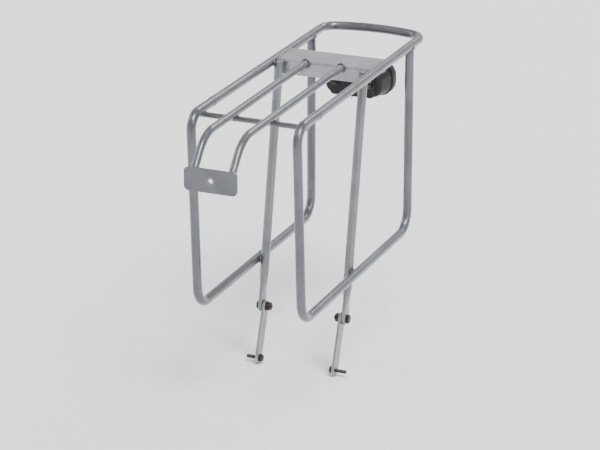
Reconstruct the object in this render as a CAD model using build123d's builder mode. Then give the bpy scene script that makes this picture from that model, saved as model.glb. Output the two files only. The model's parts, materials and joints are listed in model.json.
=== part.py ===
"""Rear rack for a city bicycle: tube platform, side loops, struts, foot links and rear light.

Millimetres. The origin is the centre of the hole in the front bracket, halfway through its plate.
+X points forward along the bicycle, +Y to its left side and +Z up.
"""
from build123d import *
from math import cos, radians, sin, tan
import os

os.makedirs("parts", exist_ok=True)

SIDES = {"left": 1, "right": -1}

# Platform
RAIL_R = 6.0                    # main tube, outer radius
TUBE_WALL = 1.2
RAIL_Z = 44.0                   # height of the platform tubes' centre line
RAIL_Y = 71.5                   # half the spacing of the outer rails
HOOP_END_X = -160.0             # where the hoop's tube ends are welded to the side loops
HOOP_CORNER_X = -534.0          # corner points of the rear end, before rounding
HOOP_APEX_X = -551.0
HOOP_CORNER_RADIUS = 24.0
HOOP_APEX_RADIUS = 200.0

# Side loops
LOOP_FRONT_TOP_X = -97.0        # the front leg leans a little
LOOP_FRONT_LOW_X = -111.0
LOOP_REAR_X = -484.0
LOOP_LOW_Z = -216.0
LOOP_TOP_RADIUS = 20.0
LOOP_LOW_RADIUS = 28.0
COPE_REACH = 20.0               # how far a coping cut runs along a rail, each way

# Inner rails and front crossbar
INNER_R = 5.0
INNER_Y = 25.0
INNER_Z = RAIL_Z + RAIL_R - INNER_R
INNER_BEND = 50.0               # degrees that the inner rails turn down at the front
INNER_BEND_RADIUS = 50.0
INNER_OVERRUN = 20.0            # tube past the bracket, before it is cut off flush
CROSSBAR_R = 3.5
CROSSBAR_X = -129.0
CROSSBAR_BITE = 0.3             # depth that the rod is let into the inner rails
CROSSBAR_Z = INNER_Z - INNER_R - CROSSBAR_R + CROSSBAR_BITE
CROSSBAR_LENGTH = 2 * RAIL_Y + 4.0

# Front bracket
BRACKET_WIDTH = 70.0
BRACKET_HEIGHT = 30.0
BRACKET_THICK = 3.0
BRACKET_CORNER = 6.0
FRAME_HOLE_R = 3.25

# Cross plate
PLATE_FRONT_X = -354.0
PLATE_REAR_X = -408.0
PLATE_TOP_Z = 47.0
PLATE_DEPTH = 20.0
PLATE_THICK = 1.5
PLATE_BEND = 3.0
PLATE_HALF_WIDTH = 67.0
FLANGE_CORNER = 6.0

# Struts and foot links
STRUT_Y = RAIL_Y - 2 * RAIL_R + 0.4
STRUT_TOP_Z = 46.0
FOOT_X = -286.0
FOOT_Z = -278.0
STRUT_LEAN = 10.5               # degrees back from vertical, going up
BLADE_WIDTH = 17.0
BLADE_THICK = 5.0
BLADE_LENGTH = 16.0             # from the pivot hole to where the tube starts to round out
BLADE_EDGE = 2.0
FLARE_END = 42.0                # from the pivot hole to where the tube is round
PLUG_THICK = 2.0
PIVOT_R = 3.0
PIVOT_HOLE_R = 3.2
LINK_THICK = 4.0
LINK_WIDTH = 16.0
LINK_CENTRES = 70.0
LINK_LEAN = 20.0                # degrees forward of straight down
LINK_GAP = 0.3
LINK_HOLE_R = 3.05
LINK_EDGE = 0.6
EYELET_R = 2.5                  # outer radius of the thread
EYELET_SHANK_R = 2.24           # plain shank, reduced to the thread's pitch radius
EYELET_HOLE_R = 2.6
EYELET_RUN_OUT = 0.5            # plain shank past the link, before the thread starts
EYELET_REACH = 14.0             # length of the thread

# Fasteners
M6_FLATS = 10.0
M6_HEAD = 4.0
M6_NUT = 5.0
M6_WASHER_R = 6.0
M5_FLATS = 8.0
M5_HEAD = 3.5
M5_NUT = 4.0
M5_R = 2.5
M5_HOLE_R = 2.65
M5_WASHER_R = 5.0
WASHER_THICK = 1.2
THREAD_PAST_NUT = 1.6
HEAD_CHAMFER = 0.4

# Rear light and its bracket
HANGER_THICK = 2.0
HANGER_HALF_WIDTH = 32.0
HANGER_ARM_Z = 22.0             # underside of the level arm
HANGER_TOP_Z = 41.0
HANGER_LOW_Z = -27.0
HANGER_BEND = 3.0
HANGER_SCREW_Y = 20.0
HANGER_SCREW_Z = 33.0
LIGHT_FRONT_X = -457.0
LIGHT_Z = -9.0
LIGHT_WIDTH = 90.0
LIGHT_HEIGHT = 44.0
LIGHT_CORNER = 18.0
LIGHT_DEPTH = 34.0
LIGHT_TAPER = 8.0
LIGHT_EDGE = 5.0
LIGHT_WALL = 2.0
LIGHT_BOLT_Y = 25.0
SEAL_THICK = 1.0
SEAL_WIDTH = 3.0
LENS_DEPTH = 13.0
LENS_EDGE = 5.0
LENS_SCREW_Y = 36.0
LENS_SCREW_R = 1.5
LENS_SCREW_HEAD_R = 2.8
LENS_SCREW_HEAD = 2.0
LENS_SCREW_LENGTH = 18.0
PILLAR_R = 3.5
STANDOFF_R = 2.5
STANDOFF_Y = 12.0
BOARD_X = LIGHT_FRONT_X - 22.0  # front face of the circuit board
BOARD_THICK = 1.6
BOARD_WIDTH = 62.0
BOARD_HEIGHT = 26.0
REFLECTOR_THICK = 4.0
REFLECTOR_HOLE_R = 3.0
REFLECTOR_MOUTH_R = 6.0
EMITTER_R = 2.5
EMITTER_HEIGHT = 3.0
EMITTER_SPACING = 19.0
TERMINAL_Y = 6.0
TERMINAL_X = LIGHT_FRONT_X - 13.0
TERMINAL_WIDTH = 4.8
TERMINAL_THICK = 0.8
TERMINAL_LOW_Z = -36.0
TERMINAL_HIGH_Z = -24.0


def save(builder, name):
    """Label a finished piece and write its STEP file."""
    builder.part.label = name
    export_step(builder.part, f"parts/{name}.step")


def bolts(name, planes, flats, head, shank):
    """Hexagon-head bolts: each plane lies under a head, and its normal points into the head.

    The shank is a list of (radius, length), from the head to the tip.
    """
    with BuildPart() as group:
        for plane in planes:
            with BuildSketch(plane):
                RegularPolygon(flats / 2, 6, major_radius=False)
            extrude(amount=head)
            crown = group.faces(Select.LAST).sort_by(Axis(plane.origin, plane.z_dir))[-1]
            chamfer(crown.edges(), HEAD_CHAMFER)
            reach = 0.0
            for radius, length in shank:
                with BuildSketch(plane.offset(-reach)):
                    Circle(radius)
                extrude(amount=-length)
                reach += length
    save(group, name)


def nuts(name, planes, flats, height, radius):
    """Hexagon nuts: each plane lies under a nut, and its normal points into the nut."""
    with BuildPart() as group:
        for plane in planes:
            with BuildSketch(plane):
                RegularPolygon(flats / 2, 6, major_radius=False)
                Circle(radius, mode=Mode.SUBTRACT)
            extrude(amount=height)
    save(group, name)


def washers(name, planes, outer, inner):
    """Flat washers: each plane lies under a washer, and its normal points into the washer."""
    with BuildPart() as group:
        for plane in planes:
            with BuildSketch(plane):
                Circle(outer)
                Circle(inner, mode=Mode.SUBTRACT)
            extrude(amount=WASHER_THICK)
    save(group, name)


# ---------------------------------------------------------------- platform

with BuildPart() as platform_hoop:
    with BuildLine(Plane.XY.offset(RAIL_Z)) as hoop_line:
        FilletPolyline(
            (HOOP_END_X, RAIL_Y),
            (HOOP_CORNER_X, RAIL_Y),
            (HOOP_APEX_X, 0),
            (HOOP_CORNER_X, -RAIL_Y),
            (HOOP_END_X, -RAIL_Y),
            radius=[HOOP_CORNER_RADIUS, HOOP_APEX_RADIUS, HOOP_CORNER_RADIUS],
        )
    with BuildSketch(Plane(origin=hoop_line.line @ 0, z_dir=hoop_line.line % 0)):
        Circle(RAIL_R)
        Circle(RAIL_R - TUBE_WALL, mode=Mode.SUBTRACT)
    sweep()
save(platform_hoop, "platform_hoop")

for side, sign in SIDES.items():
    with BuildPart() as side_loop:
        with BuildLine(Plane.XZ.offset(-sign * RAIL_Y)) as loop_line:
            FilletPolyline(
                (HOOP_END_X, RAIL_Z),
                (LOOP_FRONT_TOP_X, RAIL_Z),
                (LOOP_FRONT_LOW_X, LOOP_LOW_Z),
                (LOOP_REAR_X, LOOP_LOW_Z),
                (LOOP_REAR_X, RAIL_Z),
                radius=[LOOP_TOP_RADIUS, LOOP_LOW_RADIUS, LOOP_LOW_RADIUS],
            )
        with BuildSketch(Plane(origin=loop_line.line @ 0, z_dir=loop_line.line % 0)):
            Circle(RAIL_R)
            Circle(RAIL_R - TUBE_WALL, mode=Mode.SUBTRACT)
        sweep()
        with Locations((LOOP_REAR_X, sign * RAIL_Y, RAIL_Z)):
            Cylinder(RAIL_R, 2 * COPE_REACH, rotation=(0, 90, 0), mode=Mode.SUBTRACT)
    save(side_loop, f"{side}_side_loop")

inner_slope = tan(radians(INNER_BEND))
for side, sign in SIDES.items():
    with BuildPart() as inner_rail:
        with BuildLine(Plane.XZ.offset(-sign * INNER_Y)) as inner_line:
            FilletPolyline(
                (PLATE_FRONT_X, INNER_Z),
                (-INNER_Z / inner_slope, INNER_Z),
                (INNER_OVERRUN, -INNER_OVERRUN * inner_slope),
                radius=INNER_BEND_RADIUS,
            )
        with BuildSketch(Plane(origin=inner_line.line @ 0, z_dir=inner_line.line % 0)):
            Circle(INNER_R)
            Circle(INNER_R - TUBE_WALL, mode=Mode.SUBTRACT)
        sweep()
        split(bisect_by=Plane.YZ.offset(-BRACKET_THICK / 2), keep=Keep.BOTTOM)
    save(inner_rail, f"{side}_inner_rail")

with BuildPart() as front_crossbar:
    with Locations((CROSSBAR_X, 0, CROSSBAR_Z)):
        Cylinder(CROSSBAR_R, CROSSBAR_LENGTH, rotation=(90, 0, 0))
    chamfer(front_crossbar.edges().filter_by(GeomType.CIRCLE), CROSSBAR_R / 4)
    with Locations((CROSSBAR_X, RAIL_Y, RAIL_Z), (CROSSBAR_X, -RAIL_Y, RAIL_Z)):
        Cylinder(RAIL_R, 2 * COPE_REACH, rotation=(0, 90, 0), mode=Mode.SUBTRACT)
    with Locations((CROSSBAR_X, INNER_Y, INNER_Z), (CROSSBAR_X, -INNER_Y, INNER_Z)):
        Cylinder(INNER_R, 2 * COPE_REACH, rotation=(0, 90, 0), mode=Mode.SUBTRACT)
save(front_crossbar, "front_crossbar")

with BuildPart() as front_bracket:
    with BuildSketch(Plane.YZ):
        RectangleRounded(BRACKET_WIDTH, BRACKET_HEIGHT, BRACKET_CORNER)
        Circle(FRAME_HOLE_R, mode=Mode.SUBTRACT)
    extrude(amount=BRACKET_THICK / 2, both=True)
save(front_bracket, "front_bracket")

plate_length = PLATE_FRONT_X - PLATE_REAR_X
plate_mid_x = (PLATE_FRONT_X + PLATE_REAR_X) / 2
with BuildPart() as cross_plate:
    with BuildSketch(Plane.XZ) as channel:
        with Locations((plate_mid_x, PLATE_TOP_Z - PLATE_DEPTH)):
            Rectangle(plate_length, 2 * PLATE_DEPTH)
        fillet(channel.vertices().group_by(Axis.Y)[-1], PLATE_BEND)
        offset(amount=-PLATE_THICK, mode=Mode.SUBTRACT)
        with Locations((plate_mid_x, PLATE_TOP_Z - 1.5 * PLATE_DEPTH)):
            Rectangle(plate_length, PLATE_DEPTH, mode=Mode.SUBTRACT)
    extrude(amount=PLATE_HALF_WIDTH, both=True)
    low_corners = cross_plate.edges().filter_by(Axis.X).group_by(Axis.Z)[0]
    fillet(low_corners, FLANGE_CORNER)
    with Locations((plate_mid_x, RAIL_Y, RAIL_Z), (plate_mid_x, -RAIL_Y, RAIL_Z)):
        Cylinder(RAIL_R, 2 * plate_length, rotation=(0, 90, 0), mode=Mode.SUBTRACT)
    with Locations(Plane.YZ.offset(PLATE_REAR_X)):
        with Locations((HANGER_SCREW_Y, HANGER_SCREW_Z), (-HANGER_SCREW_Y, HANGER_SCREW_Z)):
            Cylinder(M5_HOLE_R, 4 * PLATE_THICK, mode=Mode.SUBTRACT)
save(cross_plate, "cross_plate")

# ---------------------------------------------------------------- struts and foot links

lean = radians(STRUT_LEAN)
strut_length = (STRUT_TOP_Z - FOOT_Z) / cos(lean)


def strut_plane(sign, along=0.0):
    """The plane square to a strut, at a distance up its axis from the pivot hole."""
    up = Vector(-sin(lean), 0, cos(lean))
    return Plane(
        origin=Vector(FOOT_X, sign * STRUT_Y, FOOT_Z) + up * along,
        x_dir=(cos(lean), 0, sin(lean)),
        z_dir=up,
    )


for side, sign in SIDES.items():
    up_strut = strut_plane(sign).z_dir
    blade_plane = Plane(
        origin=(FOOT_X, sign * STRUT_Y, FOOT_Z), x_dir=up_strut, z_dir=(0, -1, 0)
    )
    with BuildPart() as strut:
        with BuildSketch(blade_plane):
            Circle(BLADE_WIDTH / 2)
            with Locations((BLADE_LENGTH / 2, 0)):
                Rectangle(BLADE_LENGTH, BLADE_WIDTH)
        extrude(amount=BLADE_THICK / 2, both=True)
        fillet(strut.edges().filter_by(Axis((0, 0, 0), up_strut)), BLADE_EDGE)
        with BuildSketch(strut_plane(sign, BLADE_LENGTH)):
            RectangleRounded(BLADE_WIDTH, BLADE_THICK, BLADE_EDGE)
        with BuildSketch(strut_plane(sign, FLARE_END)):
            Circle(RAIL_R)
        loft()
        with BuildSketch(strut_plane(sign, FLARE_END)):
            Circle(RAIL_R)
        extrude(amount=strut_length - FLARE_END + RAIL_R)
        with BuildSketch(blade_plane):
            Circle(PIVOT_HOLE_R)
        extrude(amount=BLADE_THICK, both=True, mode=Mode.SUBTRACT)
        with BuildSketch(strut_plane(sign, FLARE_END)):
            Circle(RAIL_R - TUBE_WALL)
        extrude(amount=strut_length, mode=Mode.SUBTRACT)
        split(bisect_by=Plane.XY.offset(STRUT_TOP_Z), keep=Keep.BOTTOM)
        with Locations((FOOT_X, sign * RAIL_Y, RAIL_Z), (FOOT_X, sign * RAIL_Y, LOOP_LOW_Z)):
            Cylinder(RAIL_R, 10 * COPE_REACH, rotation=(0, 90, 0), mode=Mode.SUBTRACT)
    save(strut, f"{side}_strut")

with BuildPart() as strut_end_plugs:
    for sign in SIDES.values():
        with BuildSketch(strut_plane(sign, FLARE_END)):
            Circle(RAIL_R - TUBE_WALL)
        extrude(amount=strut_length)
    split(bisect_by=Plane.XY.offset(STRUT_TOP_Z), keep=Keep.BOTTOM)
    split(bisect_by=Plane.XY.offset(STRUT_TOP_Z - PLUG_THICK), keep=Keep.TOP)
    with Locations((FOOT_X, RAIL_Y, RAIL_Z), (FOOT_X, -RAIL_Y, RAIL_Z)):
        Cylinder(RAIL_R, 10 * COPE_REACH, rotation=(0, 90, 0), mode=Mode.SUBTRACT)
save(strut_end_plugs, "strut_end_plugs")

link_mid_y = STRUT_Y - BLADE_THICK / 2 - LINK_GAP - LINK_THICK / 2
link_inner_y = link_mid_y - LINK_THICK / 2
link_outer_y = link_mid_y + LINK_THICK / 2
eyelet_x = FOOT_X + LINK_CENTRES * sin(radians(LINK_LEAN))
eyelet_z = FOOT_Z - LINK_CENTRES * cos(radians(LINK_LEAN))

for side, sign in SIDES.items():
    link_plane = Plane(
        origin=(FOOT_X, sign * link_mid_y, FOOT_Z),
        x_dir=(sin(radians(LINK_LEAN)), 0, -cos(radians(LINK_LEAN))),
        z_dir=(0, -1, 0),
    )
    with BuildPart() as foot_link:
        with BuildSketch(link_plane):
            with Locations((LINK_CENTRES / 2, 0)):
                SlotCenterToCenter(LINK_CENTRES, LINK_WIDTH)
        extrude(amount=LINK_THICK / 2, both=True)
        chamfer(foot_link.faces().filter_by(Axis.Y).edges(), LINK_EDGE)
        with BuildSketch(link_plane):
            Circle(LINK_HOLE_R)
            with Locations((LINK_CENTRES, 0)):
                Circle(EYELET_HOLE_R)
        extrude(amount=LINK_THICK, both=True, mode=Mode.SUBTRACT)
    save(foot_link, f"{side}_foot_link")


def across(x, y, z, outward):
    """Planes square to Y at mirrored places; outward is 1 for normals away from the middle, or -1."""
    return [Plane(origin=(x, sign * y, z), z_dir=(0, sign * outward, 0)) for sign in SIDES.values()]


blade_outer_y = STRUT_Y + BLADE_THICK / 2
pivot_washer_y = link_inner_y - LINK_GAP
pivot_nut_y = pivot_washer_y - WASHER_THICK
pivot_length = blade_outer_y - pivot_nut_y + M6_NUT + THREAD_PAST_NUT
pivot_shank = [(PIVOT_R, pivot_length)]
bolts("pivot_bolts", across(FOOT_X, blade_outer_y, FOOT_Z, 1), M6_FLATS, M6_HEAD, pivot_shank)
washers("pivot_washers", across(FOOT_X, pivot_washer_y, FOOT_Z, -1), M6_WASHER_R, PIVOT_R)
nuts("pivot_nuts", across(FOOT_X, pivot_nut_y, FOOT_Z, -1), M6_FLATS, M6_NUT, PIVOT_R)

eyelet_head_y = link_inner_y - WASHER_THICK
eyelet_plain = link_outer_y + EYELET_RUN_OUT - eyelet_head_y
eyelet_shank = [(EYELET_SHANK_R, eyelet_plain), (EYELET_R, EYELET_REACH)]
for side, sign in SIDES.items():
    head_plane = Plane(origin=(eyelet_x, sign * eyelet_head_y, eyelet_z), z_dir=(0, -sign, 0))
    washer_plane = Plane(origin=(eyelet_x, sign * link_inner_y, eyelet_z), z_dir=(0, -sign, 0))
    bolts(f"{side}_eyelet_bolt", [head_plane], M5_FLATS, M5_HEAD, eyelet_shank)
    washers(f"{side}_eyelet_washer", [washer_plane], M5_WASHER_R, EYELET_R)

# ---------------------------------------------------------------- rear light and its hanger


def along_x(x, y, z, direction):
    """Planes square to X at mirrored places; direction is 1 for normals forward, or -1."""
    return [Plane(origin=(x, sign * y, z), z_dir=(direction, 0, 0)) for sign in SIDES.values()]


hanger_tab_x = PLATE_REAR_X - HANGER_THICK
with BuildPart() as light_hanger:
    with BuildSketch(Plane.XZ):
        with BuildLine():
            hanger_line = FilletPolyline(
                (PLATE_REAR_X, HANGER_TOP_Z),
                (PLATE_REAR_X, HANGER_ARM_Z),
                (LIGHT_FRONT_X + HANGER_THICK, HANGER_ARM_Z),
                (LIGHT_FRONT_X + HANGER_THICK, HANGER_LOW_Z),
                radius=HANGER_BEND,
            )
            offset(hanger_line, amount=HANGER_THICK, side=Side.RIGHT)
        make_face()
    extrude(amount=HANGER_HALF_WIDTH, both=True)
    tab_corners = light_hanger.edges().filter_by(Axis.X).group_by(Axis.Z)
    fillet(tab_corners[0] + tab_corners[-1], FLANGE_CORNER)
    for plane in along_x(hanger_tab_x, HANGER_SCREW_Y, HANGER_SCREW_Z, 1):
        with BuildSketch(plane):
            Circle(M5_HOLE_R)
        extrude(amount=HANGER_THICK, mode=Mode.SUBTRACT)
    for plane in along_x(LIGHT_FRONT_X, LIGHT_BOLT_Y, LIGHT_Z, 1):
        with BuildSketch(plane):
            Circle(M5_HOLE_R)
        extrude(amount=HANGER_THICK, mode=Mode.SUBTRACT)
save(light_hanger, "light_hanger")

screw_length = HANGER_THICK + PLATE_THICK + WASHER_THICK + M5_NUT + THREAD_PAST_NUT
screw_washer_x = PLATE_REAR_X + PLATE_THICK
screw_nut_x = screw_washer_x + WASHER_THICK
hanger_planes = along_x(hanger_tab_x, HANGER_SCREW_Y, HANGER_SCREW_Z, -1)
bolts("hanger_bolts", hanger_planes, M5_FLATS, M5_HEAD, [(M5_R, screw_length)])
washers("hanger_washers", along_x(screw_washer_x, HANGER_SCREW_Y, HANGER_SCREW_Z, 1), M5_WASHER_R, M5_R)
nuts("hanger_nuts", along_x(screw_nut_x, HANGER_SCREW_Y, HANGER_SCREW_Z, 1), M5_FLATS, M5_NUT, M5_R)

rim_x = LIGHT_FRONT_X - LIGHT_DEPTH
wall_x = LIGHT_FRONT_X - LIGHT_WALL
inside_width = LIGHT_WIDTH - 2 * LIGHT_WALL
inside_height = LIGHT_HEIGHT - 2 * LIGHT_WALL
rim_plane = Plane(origin=(rim_x, 0, LIGHT_Z), x_dir=(0, 1, 0), z_dir=(1, 0, 0))
with BuildPart() as light_housing:
    with BuildSketch(rim_plane):
        RectangleRounded(LIGHT_WIDTH, LIGHT_HEIGHT, LIGHT_CORNER)
    extrude(amount=LIGHT_DEPTH, taper=LIGHT_TAPER)
    fillet(light_housing.faces().sort_by(Axis.X)[-1].edges(), LIGHT_EDGE)
    with BuildSketch(rim_plane):
        RectangleRounded(inside_width, inside_height, LIGHT_CORNER - LIGHT_WALL)
    extrude(amount=LIGHT_DEPTH - LIGHT_WALL, taper=LIGHT_TAPER, mode=Mode.SUBTRACT)
    for plane in along_x(wall_x, LENS_SCREW_Y, LIGHT_Z, -1):
        with BuildSketch(plane):
            Circle(PILLAR_R)
            Circle(LENS_SCREW_R, mode=Mode.SUBTRACT)
        extrude(amount=wall_x - rim_x)
    for plane in along_x(wall_x, STANDOFF_Y, LIGHT_Z, -1):
        with BuildSketch(plane):
            Circle(STANDOFF_R)
        extrude(amount=wall_x - BOARD_X)
    for plane in along_x(wall_x, LIGHT_BOLT_Y, LIGHT_Z, 1):
        with BuildSketch(plane):
            Circle(M5_R)
        extrude(amount=LIGHT_WALL, mode=Mode.SUBTRACT)
    with Locations((TERMINAL_X, TERMINAL_Y, TERMINAL_LOW_Z), (TERMINAL_X, -TERMINAL_Y, TERMINAL_LOW_Z)):
        Box(
            TERMINAL_WIDTH,
            TERMINAL_THICK,
            TERMINAL_HIGH_Z - TERMINAL_LOW_Z,
            align=(Align.CENTER, Align.CENTER, Align.MIN),
            mode=Mode.SUBTRACT,
        )
save(light_housing, "light_housing")

with BuildPart() as light_terminals:
    with Locations((TERMINAL_X, TERMINAL_Y, TERMINAL_LOW_Z), (TERMINAL_X, -TERMINAL_Y, TERMINAL_LOW_Z)):
        Box(
            TERMINAL_WIDTH,
            TERMINAL_THICK,
            TERMINAL_HIGH_Z - TERMINAL_LOW_Z,
            align=(Align.CENTER, Align.CENTER, Align.MIN),
        )
save(light_terminals, "light_terminals")

bolt_length = LIGHT_WALL + HANGER_THICK + WASHER_THICK + M5_NUT + THREAD_PAST_NUT
light_washer_x = LIGHT_FRONT_X + HANGER_THICK
light_nut_x = light_washer_x + WASHER_THICK
light_bolt_planes = along_x(wall_x, LIGHT_BOLT_Y, LIGHT_Z, -1)
bolts("light_bolts", light_bolt_planes, M5_FLATS, M5_HEAD, [(M5_R, bolt_length)])
washers("light_washers", along_x(light_washer_x, LIGHT_BOLT_Y, LIGHT_Z, 1), M5_WASHER_R, M5_R)
nuts("light_nuts", along_x(light_nut_x, LIGHT_BOLT_Y, LIGHT_Z, 1), M5_FLATS, M5_NUT, M5_R)

with BuildPart() as light_board:
    with BuildSketch(Plane(origin=(BOARD_X, 0, LIGHT_Z), x_dir=(0, 1, 0), z_dir=(-1, 0, 0))):
        Rectangle(BOARD_WIDTH, BOARD_HEIGHT)
    extrude(amount=BOARD_THICK)
save(light_board, "light_board")

board_rear_x = BOARD_X - BOARD_THICK
emitter_plane = Plane(origin=(board_rear_x, 0, LIGHT_Z), x_dir=(0, 1, 0), z_dir=(-1, 0, 0))
with BuildPart() as light_emitters:
    with BuildSketch(emitter_plane):
        with GridLocations(EMITTER_SPACING, 0, 3, 1):
            Circle(EMITTER_R)
    extrude(amount=EMITTER_HEIGHT)
    fillet(light_emitters.faces().group_by(Axis.X)[0].edges(), EMITTER_R / 2)
save(light_emitters, "light_emitters")

with BuildPart() as light_reflector:
    with BuildSketch(emitter_plane):
        RectangleRounded(BOARD_WIDTH, BOARD_HEIGHT, STANDOFF_R)
    extrude(amount=REFLECTOR_THICK)
    with Locations(emitter_plane.offset(REFLECTOR_THICK / 2)):
        with GridLocations(EMITTER_SPACING, 0, 3, 1):
            Cone(REFLECTOR_HOLE_R, REFLECTOR_MOUTH_R, REFLECTOR_THICK, mode=Mode.SUBTRACT)
save(light_reflector, "light_reflector")

seal_plane = Plane(origin=(rim_x, 0, LIGHT_Z), x_dir=(0, 1, 0), z_dir=(-1, 0, 0))
with BuildPart() as light_seal:
    with BuildSketch(seal_plane) as seal_ring:
        RectangleRounded(LIGHT_WIDTH, LIGHT_HEIGHT, LIGHT_CORNER)
        offset(amount=-SEAL_WIDTH, mode=Mode.SUBTRACT)
    extrude(amount=SEAL_THICK)
save(light_seal, "light_seal")

lens_x = rim_x - SEAL_THICK
lens_rear_x = lens_x - LENS_DEPTH
with BuildPart() as light_lens:
    with BuildSketch(seal_plane.offset(SEAL_THICK)):
        RectangleRounded(LIGHT_WIDTH, LIGHT_HEIGHT, LIGHT_CORNER)
    extrude(amount=LENS_DEPTH)
    fillet(light_lens.faces().sort_by(Axis.X)[0].edges(), LENS_EDGE)
    with BuildSketch(seal_plane.offset(SEAL_THICK)):
        RectangleRounded(inside_width, inside_height, LIGHT_CORNER - LIGHT_WALL)
    extrude(amount=LENS_DEPTH - LIGHT_WALL, mode=Mode.SUBTRACT)
    for plane in along_x(lens_x, LENS_SCREW_Y, LIGHT_Z, -1):
        with BuildSketch(plane):
            Circle(PILLAR_R)
        extrude(amount=LENS_DEPTH - LIGHT_WALL)
        with BuildSketch(plane):
            Circle(LENS_SCREW_R)
        extrude(amount=LENS_DEPTH, mode=Mode.SUBTRACT)
    for plane in along_x(lens_rear_x, LENS_SCREW_Y, LIGHT_Z, 1):
        with BuildSketch(plane):
            Circle(LENS_SCREW_HEAD_R)
        extrude(amount=LENS_SCREW_HEAD, mode=Mode.SUBTRACT)
save(light_lens, "light_lens")

with BuildPart() as lens_screws:
    for plane in along_x(lens_rear_x + LENS_SCREW_HEAD, LENS_SCREW_Y, LIGHT_Z, -1):
        with BuildSketch(plane):
            Circle(LENS_SCREW_HEAD_R)
        extrude(amount=LENS_SCREW_HEAD)
        with BuildSketch(plane):
            Circle(LENS_SCREW_R)
        extrude(amount=-LENS_SCREW_LENGTH)
save(lens_screws, "lens_screws")
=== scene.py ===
"""Rear rack: detail pieces, materials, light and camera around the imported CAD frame, in metres."""
import json
from math import asin, cos, pi, radians, sin, sqrt, tan

import bpy
import numpy as np
from mathutils import Matrix, Vector
from mathutils.geometry import convex_hull_2d


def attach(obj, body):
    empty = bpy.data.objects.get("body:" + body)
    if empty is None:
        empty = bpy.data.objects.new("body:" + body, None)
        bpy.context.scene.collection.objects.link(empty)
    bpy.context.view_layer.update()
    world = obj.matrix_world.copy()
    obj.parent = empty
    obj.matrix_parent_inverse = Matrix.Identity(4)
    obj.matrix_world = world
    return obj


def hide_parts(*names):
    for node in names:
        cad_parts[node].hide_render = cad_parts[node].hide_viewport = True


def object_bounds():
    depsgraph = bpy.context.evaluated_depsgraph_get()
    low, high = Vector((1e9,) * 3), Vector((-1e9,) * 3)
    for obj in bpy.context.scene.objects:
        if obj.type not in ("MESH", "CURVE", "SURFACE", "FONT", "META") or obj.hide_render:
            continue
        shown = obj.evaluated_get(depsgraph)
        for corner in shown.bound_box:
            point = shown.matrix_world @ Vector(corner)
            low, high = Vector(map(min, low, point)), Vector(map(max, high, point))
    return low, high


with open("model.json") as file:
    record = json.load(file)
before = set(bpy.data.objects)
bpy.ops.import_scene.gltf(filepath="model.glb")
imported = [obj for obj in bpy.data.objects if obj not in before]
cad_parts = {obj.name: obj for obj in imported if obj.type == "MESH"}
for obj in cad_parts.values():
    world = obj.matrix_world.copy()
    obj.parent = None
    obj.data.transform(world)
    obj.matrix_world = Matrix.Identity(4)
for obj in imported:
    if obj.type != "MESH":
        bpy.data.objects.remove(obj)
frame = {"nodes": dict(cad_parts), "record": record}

MM = 0.001
CAD_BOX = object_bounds()
NODES = frame["nodes"]
SIDES = (1, -1)
AROUND = 72                          # points in a bead's path around a tube


# ---------------------------------------------------------------- measuring the frame


def points(node, side=0):
    """A CAD node's vertices, or those of its solids at +Y (side 1) or -Y (side -1)."""
    found = np.array([v.co[:] for v in NODES[node].data.vertices])
    return found[found[:, 1] * side > 0] if side else found


def corners(node, side=0):
    found = points(node, side)
    return found.min(0), found.max(0)


def side_name(side):
    return "left" if side > 0 else "right"


def clamped(value):
    return max(0.0, min(1.0, value))


def add_object(name, data):
    made = bpy.data.objects.new(name, data)
    bpy.context.scene.collection.objects.link(made)
    return made


# ---------------------------------------------------------------- materials


STEEL = (0.60, 0.60, 0.60)           # steel where the paint is rubbed through
SCUFFED = (0.46, 0.46, 0.46)
ROAD_DUST = (0.30, 0.28, 0.25)
DUST_ON_BLACK = (0.13, 0.12, 0.11)
SPLASHED = (0.105, 0.092, 0.078)
# the next colour darkens corners: painted shade, with packed dirt
CORNER_SHADE_AND_DIRT = (0.050, 0.046, 0.042)
CHIPPED = (0.055, 0.043, 0.038)


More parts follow.
